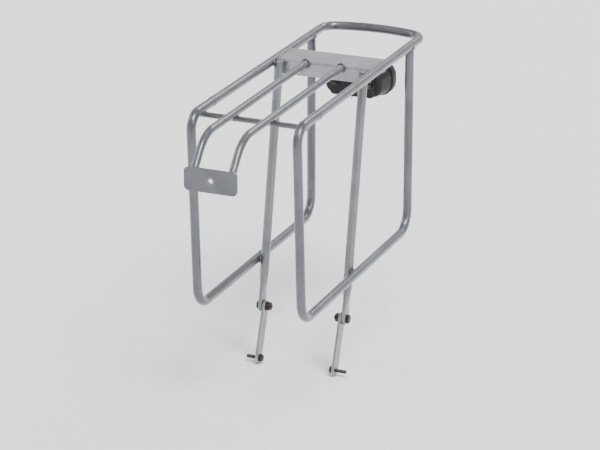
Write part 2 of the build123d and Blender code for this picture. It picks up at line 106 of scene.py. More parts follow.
class Shade:
    """A node material. Each method adds a node and returns the socket that it gives."""

    def __init__(self, name, metallic=0.0, ior=1.5, coat=0.0, coat_roughness=0.1, specular=0.5):
        self.material = bpy.data.materials.new(name)
        self.material.use_nodes = True
        self.tree = self.material.node_tree
        self.tree.nodes.clear()
        self.shader = self.add("ShaderNodeBsdfPrincipled")
        output = self.add("ShaderNodeOutputMaterial")
        self.tree.links.new(self.shader.outputs["BSDF"], output.inputs["Surface"])
        self.place = self.add("ShaderNodeTexCoord").outputs["Object"]
        self.normal = None
        self.set(Metallic=metallic, IOR=ior)
        self.shader.inputs["Coat Weight"].default_value = coat
        self.shader.inputs["Coat Roughness"].default_value = coat_roughness
        self.shader.inputs["Specular IOR Level"].default_value = specular

    def add(self, kind, inputs=(), **properties):
        node = self.tree.nodes.new(kind)
        for key, value in properties.items():
            setattr(node, key, value)
        for key, value in dict(inputs).items():
            self.put(node.inputs[key], value)
        return node

    def put(self, socket, value):
        if isinstance(value, bpy.types.NodeSocket):
            self.tree.links.new(value, socket)
        else:
            socket.default_value = value

    def set(self, **values):
        for key, value in values.items():
            self.put(self.shader.inputs[key.replace("_", " ")], value)

    def stretched(self, scale):
        return self.add("ShaderNodeMapping", {"Vector": self.place, "Scale": scale}).outputs[0]

    def noise(self, size, detail=3.0, rough=0.5, place=None):
        """Noise with features of about this size, in metres."""
        inputs = {
            "Vector": place or self.place,
            "Scale": 1 / size,
            "Detail": detail,
            "Roughness": rough,
        }
        return self.add("ShaderNodeTexNoise", inputs).outputs["Fac"]

    def cells(self, size, feature="F1", output="Distance"):
        inputs = {"Vector": self.place, "Scale": 1 / size}
        return self.add("ShaderNodeTexVoronoi", inputs, feature=feature).outputs[output]

    def between(self, value, low, high, to_low=0.0, to_high=1.0):
        """value's range low to high spread over to_low to to_high, and held at its ends."""
        inputs = {
            "Value": value,
            "From Min": low,
            "From Max": high,
            "To Min": to_low,
            "To Max": to_high,
        }
        return self.add("ShaderNodeMapRange", inputs).outputs["Result"]

    def math(self, operation, a, b=0.0):
        return self.add("ShaderNodeMath", {0: a, 1: b}, operation=operation).outputs[0]

    def mix(self, share, a, b):
        """Colour a where share is 0 and b where it is 1."""
        node = self.add("ShaderNodeMix", data_type="RGBA")
        self.put(node.inputs["Factor"], share)
        self.put(node.inputs["A"], a if isinstance(a, bpy.types.NodeSocket) else (*a, 1))
        self.put(node.inputs["B"], b if isinstance(b, bpy.types.NodeSocket) else (*b, 1))
        return node.outputs["Result"]

    def facing(self, axis="Z"):
        """How far the surface faces up (or along X or Y), from -1 to 1, in the object's own space."""
        normal = self.add("ShaderNodeTexCoord").outputs["Normal"]
        return self.add("ShaderNodeSeparateXYZ", {0: normal}).outputs[axis]

    def edges(self, radius):
        """1 on edges sharper than radius, falling to 0 beside them."""
        inputs = {"Radius": radius}
        rounded = self.add("ShaderNodeBevel", inputs, samples=4).outputs[0]
        true = self.add("ShaderNodeNewGeometry").outputs["Normal"]
        dot = self.add("ShaderNodeVectorMath", {0: rounded, 1: true}, operation="DOT_PRODUCT")
        return self.between(dot.outputs["Value"], 0.99, 0.9)

    def corners(self, reach):
        """1 deep in corners between surfaces nearer than reach, 0 in the open."""
        inputs = {"Distance": reach}
        open_share = self.add("ShaderNodeAmbientOcclusion", inputs, samples=6).outputs["AO"]
        return self.between(open_share, 0.92, 0.45)

    def height(self):
        """The height above the origin, in metres."""
        return self.add("ShaderNodeSeparateXYZ", {0: self.place}).outputs["Z"]

    def bump(self, height, depth):
        """Adds a relief, depth metres from height 0 to height 1."""
        inputs = {"Height": height, "Distance": depth, "Strength": 1.0}
        if self.normal:
            inputs["Normal"] = self.normal
        self.normal = self.add("ShaderNodeBump", inputs).outputs[0]
        self.set(Normal=self.normal)


def lacquer(name, dark, light, rub, dust=0.22, chips=0.5, washer_mark=0.0):
    """Silver metallic lacquer: flake, orange peel, road dirt, painted shade with packed dirt deep in
    corners, rubbed crests, scratches and chips.
    """
    s = Shade(name, metallic=0.62, coat=0.7, coat_roughness=0.12)
    clouds = s.between(s.noise(38 * MM, 4), 0.38, 0.62)
    flake = s.between(s.cells(0.5 * MM, output="Color"), 0.0, 1.0, -0.16, 0.16)
    colour = s.mix(s.math("ADD", clouds, flake), dark, light)

    up = s.facing()
    crest = s.between(up, 0.45, 0.95)
    streaks = s.noise(2.2 * MM, 5, 0.65, s.stretched((1.0, 0.09, 1.0)))
    lines = s.between(streaks, 0.55, 0.64)
    patches = s.between(s.noise(28 * MM, 3), 0.42, 0.58)
    rubbed = s.math("MULTIPLY", s.math("MULTIPLY", lines, patches), crest)
    colour = s.mix(s.math("MULTIPLY", rubbed, rub), colour, STEEL)

    long_marks = s.noise(1.1 * MM, 3, 0.6, s.stretched((0.12, 1.0, 1.0)))
    here = s.between(s.noise(17 * MM), 0.5, 0.6)
    scuffs = s.math("MULTIPLY", s.between(long_marks, 0.62, 0.68), here)
    colour = s.mix(s.math("MULTIPLY", scuffs, 0.45), colour, SCUFFED)

    film = s.between(s.noise(14 * MM, 6, 0.7), 0.42, 0.72)
    lying = s.math("MULTIPLY", film, s.between(up, 0.1, 0.9, 0.2, 1.0))
    colour = s.mix(s.math("MULTIPLY", lying, dust), colour, ROAD_DUST)
    low_down = s.between(s.height(), 0.0, -0.3)
    spray = s.between(s.noise(2.6 * MM, 3, 0.6), 0.62, 0.70)
    splashes = s.math("MULTIPLY", s.math("MULTIPLY", spray, low_down), 0.4)
    colour = s.mix(splashes, colour, SPLASHED)
    # Painted shade: darker deep in corners and between parts, where the ambient-occlusion mask finds
    # them, broken up by noise, and also meant as packed dirt.
    crumbs = s.between(s.noise(2 * MM, 4), 0.3, 0.6, 0.45, 0.9)
    corner_shade_and_dirt = s.math("MULTIPLY", s.corners(7 * MM), crumbs)
    colour = s.mix(corner_shade_and_dirt, colour, CORNER_SHADE_AND_DIRT)

    spots = s.between(s.cells(11 * MM), 0.085, 0.06)
    picked = s.between(s.noise(26 * MM, 2), 0.5, 0.56)
    chip = s.math("MULTIPLY", s.math("MULTIPLY", spots, picked), chips)
    colour = s.mix(chip, colour, CHIPPED)

    if washer_mark:
        flat = {0: s.stretched((0.0, 1.0, 1.0))}
        to_axis = s.add("ShaderNodeVectorMath", flat, operation="LENGTH").outputs["Value"]
        ragged = s.between(s.noise(1.5 * MM, 4), 0.2, 0.8, 0.0, 0.9 * MM)
        from_axis = s.math("ADD", to_axis, ragged)
        pressed = s.between(from_axis, washer_mark, washer_mark - 0.25 * MM)
        patchy = s.between(s.noise(1.2 * MM, 5, 0.7), 0.4, 0.6)
        bare = s.mix(patchy, (0.07, 0.068, 0.068), (0.26, 0.26, 0.26))
        colour = s.mix(s.math("MULTIPLY", pressed, 0.7), colour, bare)
        outline = s.math("MULTIPLY", pressed, s.between(from_axis, washer_mark - 0.8 * MM, washer_mark))
        colour = s.mix(outline, colour, (0.06, 0.05, 0.045))
        rubbed = s.math("MAXIMUM", rubbed, pressed)

    s.set(Base_Color=colour)
    dull = s.math("ADD", s.math("MULTIPLY", lying, 0.2), s.math("MULTIPLY", rubbed, 0.16))
    dull = s.math("ADD", dull, s.math("MULTIPLY", s.math("MAXIMUM", splashes, corner_shade_and_dirt), 0.4))
    smears = s.between(s.noise(20 * MM, 3), 0.3, 0.7, 0.25, 0.37)
    s.set(Roughness=s.math("ADD", smears, dull))
    s.bump(s.noise(1.9 * MM, 2, 0.4), 0.035 * MM)
    s.bump(chip, -0.12 * MM)
    s.bump(s.math("MAXIMUM", rubbed, scuffs), -0.03 * MM)
    s.bump(splashes, 0.05 * MM)
    return s.material


def powder_coat(name):
    s = Shade(name, specular=0.3)
    tone = s.between(s.noise(25 * MM, 4), 0.35, 0.65)
    colour = s.mix(tone, (0.007, 0.007, 0.008), (0.014, 0.014, 0.015))
    dusty = s.math(
        "MULTIPLY",
        s.between(s.noise(3 * MM, 6, 0.75), 0.42, 0.78),
        s.between(s.facing(), 0.0, 1.0, 0.05, 0.20),
    )
    colour = s.mix(dusty, colour, DUST_ON_BLACK)
    worn = s.math("MULTIPLY", s.edges(0.7 * MM), s.between(s.noise(3 * MM, 4), 0.48, 0.56))
    colour = s.mix(s.math("MULTIPLY", worn, 0.6), colour, (0.25, 0.25, 0.25))
    s.set(Base_Color=colour, Roughness=s.between(s.noise(7 * MM, 3), 0.3, 0.7, 0.42, 0.58))
    s.bump(s.noise(0.8 * MM, 3, 0.6), 0.09 * MM)
    return s.material


def zinc(name, along, dark, light, shine):
    """Zinc-plated steel, drawn along one direction, with dull patches and a faint passivation tint."""
    s = Shade(name, metallic=1.0)
    grain = s.noise(0.35 * MM, 3, 0.6, s.stretched(along))
    cloud = s.between(s.noise(7 * MM, 4), 0.35, 0.65)
    colour = s.mix(cloud, dark, light)
    colour = s.mix(s.between(grain, 0.3, 0.7, 0.0, 0.45), colour, shine)
    tint = s.between(s.noise(4 * MM, 2), 0.45, 0.7, 0.0, 0.22)
    colour = s.mix(tint, colour, (0.56, 0.47, 0.33))
    dull = s.between(s.noise(2.5 * MM, 5, 0.7), 0.52, 0.62, 0.0, 0.5)
    colour = s.mix(dull, colour, (0.24, 0.235, 0.225))
    bright = s.math("MULTIPLY", s.edges(0.5 * MM), 0.45)
    colour = s.mix(bright, colour, (0.78, 0.78, 0.77))
    s.set(Base_Color=colour, Roughness=s.between(grain, 0.3, 0.7, 0.30, 0.48))
    s.bump(grain, 0.03 * MM)
    return s.material


def black_oxide(name):
    s = Shade(name, metallic=0.75)
    cloud = s.between(s.noise(3 * MM, 4), 0.35, 0.65)
    colour = s.mix(cloud, (0.018, 0.017, 0.018), (0.05, 0.047, 0.046))
    rust = s.between(s.noise(1.4 * MM, 5, 0.7), 0.58, 0.66, 0.0, 0.55)
    colour = s.mix(rust, colour, (0.16, 0.075, 0.035))
    bright = s.math("MULTIPLY", s.edges(0.45 * MM), 0.5)
    colour = s.mix(bright, colour, (0.30, 0.30, 0.30))
    s.set(Base_Color=colour, Roughness=s.between(s.noise(1.2 * MM, 4), 0.3, 0.7, 0.34, 0.55))
    s.bump(s.noise(0.5 * MM, 4, 0.6), 0.03 * MM)
    return s.material


def moulded(name, dark, light, grain=0.7 * MM, depth=0.05 * MM, rough=(0.42, 0.56)):
    s = Shade(name, specular=0.3)
    tone = s.between(s.noise(20 * MM, 4), 0.35, 0.65)
    colour = s.mix(tone, dark, light)
    dusty = s.math(
        "MULTIPLY",
        s.between(s.noise(3 * MM, 6, 0.75), 0.42, 0.78),
        s.between(s.facing(), 0.0, 1.0, 0.04, 0.18),
    )
    colour = s.mix(dusty, colour, DUST_ON_BLACK)
    scuff = s.math("MULTIPLY", s.edges(0.8 * MM), s.between(s.noise(2 * MM, 4), 0.5, 0.6))
    colour = s.mix(s.math("MULTIPLY", scuff, 0.5), colour, (0.14, 0.14, 0.14))
    s.set(Base_Color=colour, Roughness=s.between(s.noise(6 * MM, 3), 0.3, 0.7, *rough))
    s.bump(s.cells(grain, "SMOOTH_F1"), depth)
    return s.material


def red_plastic(name, clear, dark, light, haze):
    """Clear red moulding, with haze as its lowest and highest roughness."""
    s = Shade(name, ior=1.49)
    s.set(Base_Color=s.mix(s.between(s.noise(14 * MM, 3), 0.35, 0.65), dark, light))
    s.shader.inputs["Transmission Weight"].default_value = clear
    streaks = s.noise(1.2 * MM, 3, 0.6, s.stretched((1.0, 0.08, 1.0)))
    scratches = s.between(streaks, 0.60, 0.66, 0.0, 0.12)
    hazy = s.between(s.noise(2.5 * MM, 5, 0.7), 0.4, 0.7, *haze)
    s.set(Roughness=s.math("ADD", hazy, scratches))
    s.bump(s.noise(3.5 * MM, 2), 0.015 * MM)
    return s.material


def prism_plastic(name):
    """The back of a reflex moulding, with painted light and shade: facets turned up, and a little to +Y,
    are coloured bright red, the others near-black.
    """
    s = Shade(name, metallic=0.6, ior=1.49)
    # Painted light and shade: the colour follows which way each facet faces, not the lamps.
    painted_light_share = s.between(s.math("ADD", s.facing("Z"), s.math("MULTIPLY", s.facing("Y"), 0.45)), -0.75, 0.75)
    tone = s.between(s.noise(9 * MM, 3), 0.35, 0.65)
    bright = s.mix(tone, (0.74, 0.10, 0.075), (0.95, 0.20, 0.15))
    s.set(Base_Color=s.mix(painted_light_share, (0.075, 0.003, 0.003), bright))
    s.set(Roughness=s.between(s.noise(2 * MM, 3), 0.3, 0.7, 0.10, 0.22))
    s.bump(s.noise(1.5 * MM, 2), 0.01 * MM)
    return s.material


def chrome(name):
    s = Shade(name, metallic=1.0)
    s.set(Base_Color=s.mix(s.noise(9 * MM, 3), (0.72, 0.72, 0.73), (0.84, 0.84, 0.84)))
    s.set(Roughness=s.between(s.noise(1.5 * MM, 4), 0.3, 0.7, 0.05, 0.16))
    s.bump(s.noise(4 * MM, 2), 0.02 * MM)
    return s.material


def rubber(name):
    s = Shade(name, ior=1.45)
    s.set(Base_Color=s.mix(s.noise(3 * MM, 5), (0.012, 0.012, 0.012), (0.045, 0.044, 0.042)))
    s.set(Roughness=s.between(s.noise(2 * MM, 3), 0.3, 0.7, 0.62, 0.82))
    s.bump(s.noise(0.6 * MM, 4, 0.6), 0.05 * MM)
    return s.material


def circuit_board(name):
    s = Shade(name, coat=0.4)
    tracks = s.between(s.cells(4 * MM, "DISTANCE_TO_EDGE"), 0.04, 0.08)
    colour = s.mix(tracks, (0.03, 0.16, 0.06), (0.012, 0.085, 0.03))
    s.set(Base_Color=colour, Roughness=s.between(s.noise(2 * MM), 0.3, 0.7, 0.35, 0.5))
    s.bump(tracks, -0.03 * MM)
    return s.material


def brass(name):
    s = Shade(name, metallic=1.0)
    tarnish = s.between(s.noise(1.6 * MM, 5, 0.7), 0.4, 0.7)
    s.set(Base_Color=s.mix(tarnish, (0.78, 0.58, 0.26), (0.42, 0.28, 0.12)))
    s.set(Roughness=s.between(tarnish, 0.0, 1.0, 0.25, 0.5))
    s.bump(s.noise(0.5 * MM, 4), 0.02 * MM)
    return s.material


MATERIALS = {
    "rack_paint": lacquer(
        "rack_lacquer", (0.086, 0.090, 0.101), (0.110, 0.115, 0.128), 0.34, washer_mark=7.5 * MM
    ),
    "strut_paint": lacquer("strut_lacquer", (0.140, 0.145, 0.160), (0.180, 0.186, 0.203), 0.3),
    "plate_paint": lacquer("plate_lacquer", (0.255, 0.263, 0.288), (0.325, 0.334, 0.362), 0.4),
    "link_steel": zinc(
        "link_zinc", (1.0, 1.0, 0.06), (0.22, 0.22, 0.215), (0.34, 0.34, 0.335), (0.45, 0.45, 0.445)
    ),
    "dark_fasteners": black_oxide("fastener_black_oxide"),
    "zinc_fasteners": zinc(
        "fastener_zinc", (0.2, 1.0, 1.0), (0.26, 0.26, 0.255), (0.42, 0.42, 0.41), (0.56, 0.56, 0.55)
    ),
    "hanger_paint": powder_coat("hanger_powder_coat"),
    "lamp_black": moulded("lamp_plastic", (0.007, 0.007, 0.008), (0.013, 0.013, 0.014)),
    "lens_red": red_plastic(
        "lens_plastic", 0.94, (0.80, 0.035, 0.03), (0.90, 0.07, 0.055), (0.02, 0.07)
    ),
    "seal_rubber": rubber("seal_rubber"),
    "reflector_chrome": chrome("reflector_metallised"),
    "board_green": circuit_board("board_solder_mask"),
    "emitter_red": red_plastic(
        "emitter_epoxy", 0.5, (0.72, 0.012, 0.012), (0.86, 0.03, 0.022), (0.04, 0.12)
    ),
    "terminal_brass": brass("terminal_brass"),
}
PRISM_MATERIAL = prism_plastic("lens_prisms")
# The light's fasteners. The photo shows no bright spots on its front.
BLACKENED = ("light_bolts", "light_washers", "light_nuts")


def finish(node, slot):
    return MATERIALS["dark_fasteners" if node in BLACKENED else slot]


for row in frame["record"]["subparts"]:
    mesh = NODES[row["node"]].data
    mesh.materials.clear()
    mesh.materials.append(finish(row["node"], row["material_slot"]))

# Widths of the small rounds that break the sheet metal's and washers' edges.
EDGES = {
    "front_bracket": 0.35 * MM,
    "cross_plate": 0.25 * MM,
    "light_hanger": 0.3 * MM,
    "strut_end_plugs": 0.4 * MM,
    "pivot_washers": 0.2 * MM,
    "hanger_washers": 0.2 * MM,
    "light_washers": 0.2 * MM,
    "left_eyelet_washer": 0.2 * MM,
    "right_eyelet_washer": 0.2 * MM,
    "light_terminals": 0.15 * MM,
    "light_seal": 0.15 * MM,
}
for node, width in EDGES.items():
    edge = NODES[node].modifiers.new("edges", "BEVEL")
    edge.width = width
    edge.segments = 2
    edge.limit_method = "ANGLE"
    edge.angle_limit = radians(50)
    edge.harden_normals = True


# ---------------------------------------------------------------- building meshes


def piece(name, shapes, slot, body, sharp=40.0, material=None):
    """One object from shapes, each a list of vertices and a list of faces, riding on a body.

    It has its slot's material, unless it is given one of its own.
    """
    vertices, faces = [], []
    for shape_vertices, shape_faces in shapes:
        start = len(vertices)
        vertices += [tuple(v) for v in shape_vertices]
        faces += [tuple(start + i for i in face) for face in shape_faces]
    mesh = bpy.data.meshes.new(name)
    mesh.from_pydata(vertices, [], faces)
    mesh.update()
    mesh.shade_smooth()
    mesh.set_sharp_from_angle(angle=radians(sharp))
    mesh.materials.append(material or MATERIALS[slot])
    made = add_object(name, mesh)
    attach(made, body)
    return made


def ring_faces(rings, count, closed=False):
    """Quads between rings of count vertices each, in order."""
    faces = []
    last = rings if closed else rings - 1
    for i in range(last):
        a, b = i * count, (i + 1) % rings * count
        for j in range(count):
            k = (j + 1) % count
            faces.append((a + j, a + k, b + k, b + j))
    return faces


def lathe(profile, count=48, radius_at=None):
    """A closed solid of revolution about +Z. profile is (radius, z) from one end to the other."""
    vertices = []
    for radius, z in profile:
        for j in range(count):
            angle = 2 * pi * j / count
            r, height = radius_at(radius, z, angle) if radius_at else (radius, z)
            vertices.append((r * cos(angle), r * sin(angle), height))
    faces = ring_faces(len(profile), count)
    faces.append(tuple(range(count))[::-1])
    faces.append(tuple(range((len(profile) - 1) * count, len(profile) * count)))
    return vertices, faces


def moved(shape, origin, direction, spin=0.0):
    """shape with its +Z turned to direction and its origin at origin."""
    turn = Vector(direction).to_track_quat("Z", "Y").to_matrix() @ Matrix.Rotation(spin, 3, "Z")
    vertices = [Vector(origin) + turn @ Vector(v) for v in shape[0]]
    return vertices, shape[1]


# ---------------------------------------------------------------- welds

RIPPLE = 1.5 * MM
BEAD_STEP = 0.3 * MM
BEAD_SIDES = 10
chance = np.random.default_rng(7)


def bead(path, radius, closed=True):
    """A rippled weld bead along a path of points."""
    path = np.array(path, float)
    if closed:
        path = np.vstack([path, path[:1]])
    lengths = np.concatenate([[0], np.cumsum(np.linalg.norm(np.diff(path, axis=0), axis=1))])
    count = max(8, int(lengths[-1] / BEAD_STEP))
    along = np.linspace(0, lengths[-1], count, endpoint=not closed)
    spine = np.stack([np.interp(along, lengths, path[:, k]) for k in range(3)], axis=1)
    if closed:
        tangents = np.roll(spine, -1, 0) - np.roll(spine, 1, 0)
    else:
        tangents = np.gradient(spine, axis=0)
    tangents /= np.linalg.norm(tangents, axis=1)[:, None]
    outward = spine - spine.mean(0) if closed else np.tile([0.0, 0.0, 1.0], (count, 1))
    outward -= (outward * tangents).sum(1)[:, None] * tangents
    outward /= np.linalg.norm(outward, axis=1)[:, None]
    across = np.cross(tangents, outward)
    ripples = max(1, round(lengths[-1] / RIPPLE))
    wave = np.abs(np.sin(pi * ripples * along / lengths[-1]))
    phase = chance.uniform(0, 2 * pi, 3)
    share = 2 * pi * along / lengths[-1]
    drift = sum(np.sin(share * (k + 2) + phase[k]) for k in range(3)) / 3
    radii = radius * (0.92 + 0.14 * wave + 0.07 * drift)
    if not closed:
        ends = np.minimum(along, lengths[-1] - along) / (2 * radius)
        radii *= np.sqrt(np.clip(ends, 0.02, 1))
    vertices = []
    for p, o, a, r in zip(spine, outward, across, radii):
        for j in range(BEAD_SIDES):
            angle = 2 * pi * j / BEAD_SIDES
            vertices.append(p + r * (cos(angle) * o + sin(angle) * a))
    faces = ring_faces(count, BEAD_SIDES, closed)
    if not closed:
        faces.append(tuple(range(BEAD_SIDES))[::-1])
        faces.append(tuple(range((count - 1) * BEAD_SIDES, count * BEAD_SIDES)))
    return vertices, faces


def crossing(centre, a, ra, b, rb, normal, apart):
    """Where cylinder A, along a through centre, meets B, along b and apart from it along normal."""
    a, b, n = (np.array(v, float) for v in (a, b, normal))
    widest = sqrt(max(ra**2 - max(apart - rb, 0) ** 2, 0))
    found = []
    for t in np.linspace(0, 2 * pi, AROUND, endpoint=False):
        u = widest * cos(t)
        height = sqrt(ra**2 - u**2)
        v = sqrt(max(rb**2 - (apart - height) ** 2, 0)) * (1 if sin(t) >= 0 else -1)
        in_plane = b * u / (b @ np.cross(n, a)) + a * v / (a @ np.cross(n, b))
        found.append(np.array(centre) + n * height + in_plane)
    return found


def ellipse(centre, u, v):
    """An ellipse about centre with half axes u and v."""
    centre, u, v = (np.array(x, float) for x in (centre, u, v))
    turns = np.linspace(0, 2 * pi, AROUND, endpoint=False)
    return [centre + u * cos(t) + v * sin(t) for t in turns]


def weld_cap(centre, radius, floor, depth, rings=6, count=24):
    """A mound of weld over a tube's end at centre. It stands out to -X, above the height floor."""
    x, y, z = centre
    start = asin((floor - z) / radius)
    vertices = []
    for i in range(rings):
        share = i / (rings - 0.9)      # stays below 1, so that the last ring has a size
        for j in range(count):
            t = start + (pi - 2 * start) * j / (count - 1)
            across, up = radius * cos(t), z + radius * sin(t) - floor
            size = sqrt(1 - share**2)
            vertices.append((x - depth * share, y + across * size, floor + up * size))
    faces = [face[::-1] for face in ring_faces(rings, count)]
    faces.append(tuple(range(count)))
    faces.append(tuple(range((rings - 1) * count, rings * count))[::-1])
    return vertices, faces


FLUSH = 0.5 * MM                     # how far a bead's middle stands off both tubes
TUBE_BEAD = 1.25 * MM                # bead radii
INNER_BEAD = 1.2 * MM
ROD_BEAD = 1.1 * MM
BUTT_BEAD = 0.9 * MM
STITCH_BEAD = 1.3 * MM
STITCHES = ((0.08, 0.38), (0.62, 0.92))  # where each stitch starts and ends, as shares of the plate
STITCH_STEPS = 10
CAP_DEPTH = 2.6 * MM                 # weld over the inner rails' rear ends
CAP_SHARE = 0.92                     # of the inner rails' radius
CAP_SUNK = 0.8 * MM                  # its foot, below the cross plate's top
SADDLE = 0.05                        # keeps the legs' beads clear of the rails' sides
BUTT_SUNK = 0.35 * MM                # a butt bead's middle, below the tubes' surface
OFF_EDGE = 0.3 * MM                  # a bead's middle, off the bracket's face or the plate's edge
BAR_MARGIN = 0.3 * MM                # keeps the rod's beads short of its ends
STITCH_UP, STITCH_OFF = 0.2 * MM, 0.4 * MM  # a stitch's middle, above the plate and off the rail
hoop_low, hoop_high = corners("platform_hoop")
rail_r = (hoop_high[2] - hoop_low[2]) / 2
rail_z = (hoop_high[2] + hoop_low[2]) / 2
rail_y = hoop_high[1] - rail_r
inner_low, inner_high = corners("left_inner_rail")
inner_r = (inner_high[1] - inner_low[1]) / 2
inner_y = (inner_high[1] + inner_low[1]) / 2
inner_z = inner_high[2] - inner_r
bar_low, bar_high = corners("front_crossbar")
bar_x = (bar_low[0] + bar_high[0]) / 2
bar_r = (bar_high[0] - bar_low[0]) / 2
bar_z = bar_low[2] + bar_r
bar_end = bar_high[1] - BAR_MARGIN
loop_low = corners("left_side_loop")[0]
leg_x = loop_low[0] + rail_r
loop_z = loop_low[2] + rail_r
bracket_low = corners("front_bracket")[0]
plate_low, plate_high = corners("cross_plate")

strut = points("left_strut")
strut_y = strut[:, 1].max() - rail_r
foot_box = corners("pivot_bolts", 1)
foot_x, foot_z = (foot_box[0][[0, 2]] + foot_box[1][[0, 2]]) / 2
strut_top = strut[strut[:, 2] > strut[:, 2].max() - 0.5 * MM]
top_x = (strut_top[:, 0].min() + strut_top[:, 0].max()) / 2
lean = Vector((top_x - foot_x, 0, strut[:, 2].max() - foot_z)).normalized()

tube_beads, plate_beads = [], []
INNER_SLOPE = radians(50)            # how steeply the inner rails come down to the bracket
for side in SIDES:
    y = side * rail_y
    # rear leg of the side loop under the rail
    turns = np.linspace(0, 2 * pi, AROUND, endpoint=False)
    r = rail_r + FLUSH
    saddle = [
        (leg_x + r * cos(t), y + r * sin(t), rail_z - r * sqrt(cos(t) ** 2 + SADDLE)) for t in turns
    ]
    tube_beads.append(bead(saddle, TUBE_BEAD))
    # butt joint of the hoop and the side loop
    sunk_r = rail_r - BUTT_SUNK
    joint = ellipse((hoop_high[0], y, rail_z), (0, sunk_r, 0), (0, 0, sunk_r))
    tube_beads.append(bead(joint, BUTT_BEAD))
    # front crossbar under the outer and inner rails
    for over_y, over_r, over_z in ((y, rail_r, rail_z), (side * inner_y, inner_r, inner_z)):
        grown = crossing(
            (bar_x, over_y, bar_z), (0, 1, 0), bar_r + FLUSH, (1, 0, 0), over_r + FLUSH,
            (0, 0, 1), over_z - bar_z,
        )
        grown = [(p[0], side * min(abs(p[1]), bar_end), p[2]) for p in grown]
        tube_beads.append(bead(grown, ROD_BEAD))
    # strut beside the rail and the bottom bar
    for z in (rail_z, loop_z):
        x = foot_x + lean.x / lean.z * (z - foot_z)
        grown = crossing(
            (x, side * strut_y, z), lean, rail_r + FLUSH, (1, 0, 0), rail_r + FLUSH,
            (0, side, 0), rail_y - strut_y,
        )
        tube_beads.append(bead(grown, TUBE_BEAD))
    # inner rail against the front bracket and the cross plate
    foot = inner_r + FLUSH
    ring = ellipse(
        (bracket_low[0] - OFF_EDGE, side * inner_y, -bracket_low[0] * tan(INNER_SLOPE)),
        (0, foot, 0), (0, 0, foot / cos(INNER_SLOPE)),
    )
    tube_beads.append(bead(ring, INNER_BEAD))
    ring = ellipse((plate_high[0] + OFF_EDGE, side * inner_y, inner_z), (0, foot, 0), (0, 0, foot))
    tube_beads.append(bead(ring, INNER_BEAD))
    # the inner rail's end, closed with weld where it stands over the cross plate
    rail_end = (plate_high[0], side * inner_y, inner_z)
    tube_beads.append(weld_cap(rail_end, CAP_SHARE * inner_r, plate_high[2] - CAP_SUNK, CAP_DEPTH))
    # stitches along the cross plate's two ends
    stitch_z = plate_high[2] + STITCH_UP
    stitch_y = y - side * (sqrt(rail_r**2 - (plate_high[2] - rail_z) ** 2) + STITCH_OFF)
    span = plate_high[0] - plate_low[0]
    for start, end in STITCHES:
        line = [
            (plate_low[0] + span * (start + (end - start) * k / STITCH_STEPS), stitch_y, stitch_z)
            for k in range(STITCH_STEPS + 1)
        ]
        plate_beads.append(bead(line, STITCH_BEAD, closed=False))

piece("tube_welds", tube_beads, "rack_paint", "rack", sharp=60)
piece("plate_welds", plate_beads, "plate_paint", "rack", sharp=60)


# ---------------------------------------------------------------- threads, hexagon heads and nuts

TURN_STEPS = 8                       # rings in a thread's turn
THREAD_DEPTH = 0.55                  # as a share of the pitch
TIP_CHAMFER = 0.7                    # as a share of the pitch
TURNED = 0.95                        # a head's flat circle, as a share of its width over flats
HOLE_MOUTH = 1.12                    # a nut's hole at its faces, as a share of the hole
MOUTH_DEPTH = 0.1                    # as a share of the nut's height


def threaded(radius, length, pitch, chamfer, count=32):
    """A threaded rod along +Z with a tapered tip."""
    depth = THREAD_DEPTH * pitch
    rows = int(length / pitch * TURN_STEPS) + 1
    profile = [(radius, length * i / (rows - 1)) for i in range(rows)]

    def groove(r, z, angle):
        phase = (z / pitch - angle / (2 * pi)) % 1
        cut = depth * clamped(1.3 * (1 - abs(2 * phase - 1)) - 0.15)
        tip = max(0.0, chamfer - (length - z))
        return r - max(cut, tip), z

    return lathe(profile, count, groove)


def hexagon(flats, height, bottom=False, hole=0.0, count=48):
    """A hexagon prism along +Z with its top, and if wanted its bottom, turned to a cone, and a hole."""
    apothem = flats / 2
    turned = TURNED * apothem
    slope = tan(radians(30))

    def side_radius(angle):
        return apothem / cos((angle + pi / 6) % (pi / 3) - pi / 6)

    def place(r, z, angle):
        if r <= turned + 1e-9:
            return r, z
        r = side_radius(angle)
        drop = slope * (r - turned)
        if z > height / 2:
            return r, height - drop
        return r, drop if bottom else 0

    outer = [(turned, 0), (2 * apothem, 0), (2 * apothem, height), (turned, height)]
    if not hole:
        return lathe(outer, count, place)
    mouth, deep = HOLE_MOUTH * hole, MOUTH_DEPTH * height
    rings = outer + [(mouth, height), (hole, height - deep), (hole, deep), (mouth, 0)]
    vertices = []
    for r, z in rings:
        for j in range(count):
            angle = 2 * pi * j / count
            at, up = place(r, z, angle)
            vertices.append((at * cos(angle), at * sin(angle), up))
    return vertices, ring_faces(len(rings), count, closed=True)


def bolt_sizes(node, side, axis):
    """Measures a hexagon bolt: its middle, the plane under its head, its head, shank and thread."""
    found = points(node, side)
    low, high = found.min(0), found.max(0)
    other = [k for k in range(3) if k != axis]
    centre = (low + high) / 2
    reach = np.linalg.norm(found[:, other] - centre[other], axis=1)
    head = found[reach > 0.8 * reach.max()][:, axis]      # the shank doesn't reach this far out
    tip_high = abs(high[axis] - head.max()) > abs(low[axis] - head.min())
    tip = high[axis] if tip_high else low[axis]
    under = head.max() if tip_high else head.min()
    top = head.min() if tip_high else head.max()
    thread = reach[np.abs(found[:, axis] - tip) < 1e-6].max()
    return {
        "centre": centre,
        "under": under,
        "head": abs(top - under),
        "flats": 2 * reach.max() * cos(pi / 6),
        "thread": thread,
        "plain": reach.min(),
        "length": abs(tip - under),
        "to_tip": 1 if tip_high else -1,
    }


def at_axis(centre, axis, value):
    place = Vector(centre)
    place[axis] = value
    return place


def unit(axis, sign):
    direction = Vector((0, 0, 0))
    direction[axis] = sign
    return direction


